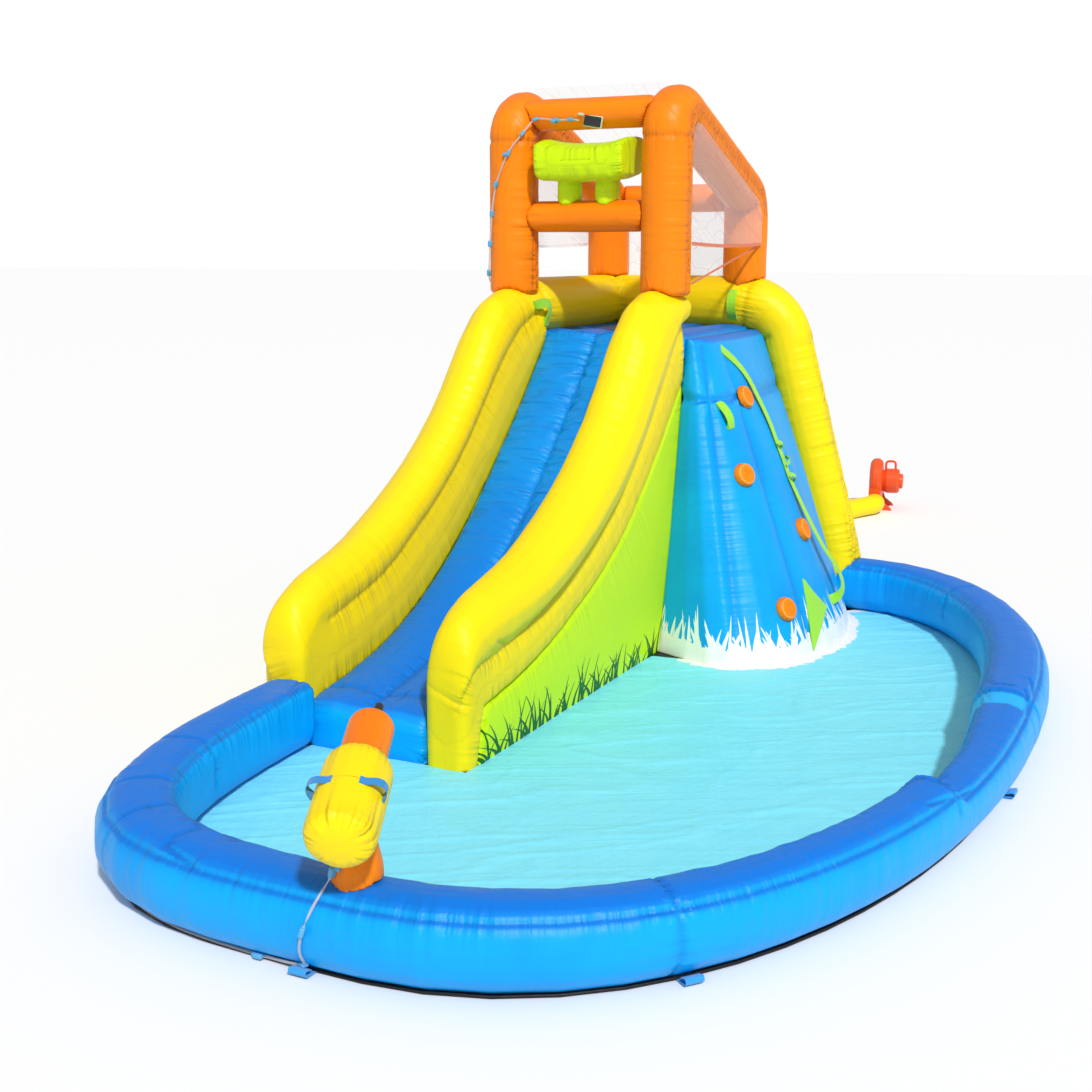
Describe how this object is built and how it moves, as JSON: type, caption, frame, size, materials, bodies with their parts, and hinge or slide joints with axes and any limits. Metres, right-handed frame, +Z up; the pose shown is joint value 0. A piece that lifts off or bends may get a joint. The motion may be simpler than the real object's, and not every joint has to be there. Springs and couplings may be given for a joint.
{
  "type": "inflatable water park",
  "caption": "Backyard inflatable water park: slide and climbing wall on a caged deck beside a splash pool, with a water cannon, sprinkler hose and air blower.",
  "frame": {"origin": "on the ground under the slide's exit, on the slide's centre line, on the ground sheet's underside", "axes": "+Z up; +Y from the slide's exit back to the tower and blower; +X from the slide across the pool"},
  "size_m": [2.8988, 8.2526, 2.6709],
  "materials": {
    "yellow_cloth": "coated cloth, semi-gloss",
    "blue_cloth": "coated cloth, semi-gloss",
    "orange_cloth": "coated cloth, semi-gloss",
    "lime_cloth": "coated cloth, semi-gloss",
    "aqua_cloth": "coated cloth, satin",
    "black_sheet": "coated ground cloth, matt",
    "white_net": "knotless mesh",
    "lime_webbing": "woven webbing",
    "blue_webbing": "woven webbing",
    "clear_hose": "soft vinyl hose with clips",
    "black_plastic": "moulded",
    "orange_plastic": "moulded",
    "grey_plastic": "moulded"
  },
  "bodies": {
    "base": {"air_duct": "yellow_cloth", "barrier_handle": "lime_webbing", "barrier_left": "yellow_cloth", "barrier_rear": "yellow_cloth", "blower_housing": "orange_plastic", "blower_motor": "orange_plastic", "cage_bow_left": "orange_cloth", "cage_bow_right": "orange_cloth", "cannon_hose": "clear_hose", "cannon_post": "orange_cloth", "climb_strap": "lime_webbing", "climbing_wall": "blue_cloth", "column": "yellow_cloth", "deck": "blue_cloth", "entrance_handle": "lime_webbing", "foot_hold_1": "orange_cloth", "foot_hold_2": "orange_cloth", "foot_hold_3": "orange_cloth", "foot_hold_4": "orange_cloth", "front_post_left": "orange_cloth", "front_post_right": "orange_cloth", "ground_sheet": "black_sheet", "hose_tee": "grey_plastic", "inlet_grille": "black_plastic", "mid_beam": "orange_cloth", "pool_floor": "aqua_cloth", "pool_wall_back": "blue_cloth", "pool_wall_front": "blue_cloth", "pool_wall_left": "blue_cloth", "pool_wall_right": "blue_cloth", "rail_left": "yellow_cloth", "rail_right": "yellow_cloth", "rear_beam": "orange_cloth", "rear_net": "white_net", "roof_net": "white_net", "side_net_left": "white_net", "side_net_right": "white_net", "slide_bed": "blue_cloth", "slide_exit_roll": "blue_cloth", "slide_side_left": "lime_cloth", "slide_side_right": "lime_cloth", "splash_box": "lime_cloth", "splash_box_leg_left": "lime_cloth", "splash_box_leg_right": "lime_cloth", "spray_pad": "black_plastic", "sprinkler_hose": "clear_hose", "stake_loop_1": "blue_webbing", "stake_loop_2": "blue_webbing", "stake_loop_3": "blue_webbing", "strap_anchor": "lime_webbing", "top_beam": "orange_cloth", "tower_body": "blue_cloth", "wall_handle": "lime_webbing"},
    "cannon_neck": {"cannon_neck": "orange_cloth"},
    "cannon": {"cannon_barrel": "yellow_cloth", "cannon_muzzle": "orange_cloth", "cannon_tip": "black_plastic", "cannon_handle_left": "blue_webbing", "cannon_handle_right": "blue_webbing"},
    "impeller": {"impeller": "black_plastic"}
  },
  "joints": [
    {"name": "cannon_swivel", "type": "hinge", "parent": "base", "child": "cannon_neck", "pos_m": [0.938, -1.452, 0.386], "axis": [0, 0, 1], "range_deg": [-25, 25]},
    {"name": "cannon_tilt", "type": "hinge", "parent": "cannon_neck", "child": "cannon", "pos_m": [0.938, -1.452, 0.408], "axis": [0.9311, 0.3649, 0], "range_deg": [-10, 10]},
    {"name": "impeller_spin", "type": "hinge", "parent": "base", "child": "impeller", "pos_m": [0.4, 6.4, 0.205], "axis": [0.9848, 0.1736, 0], "continuous": true}
  ]
}
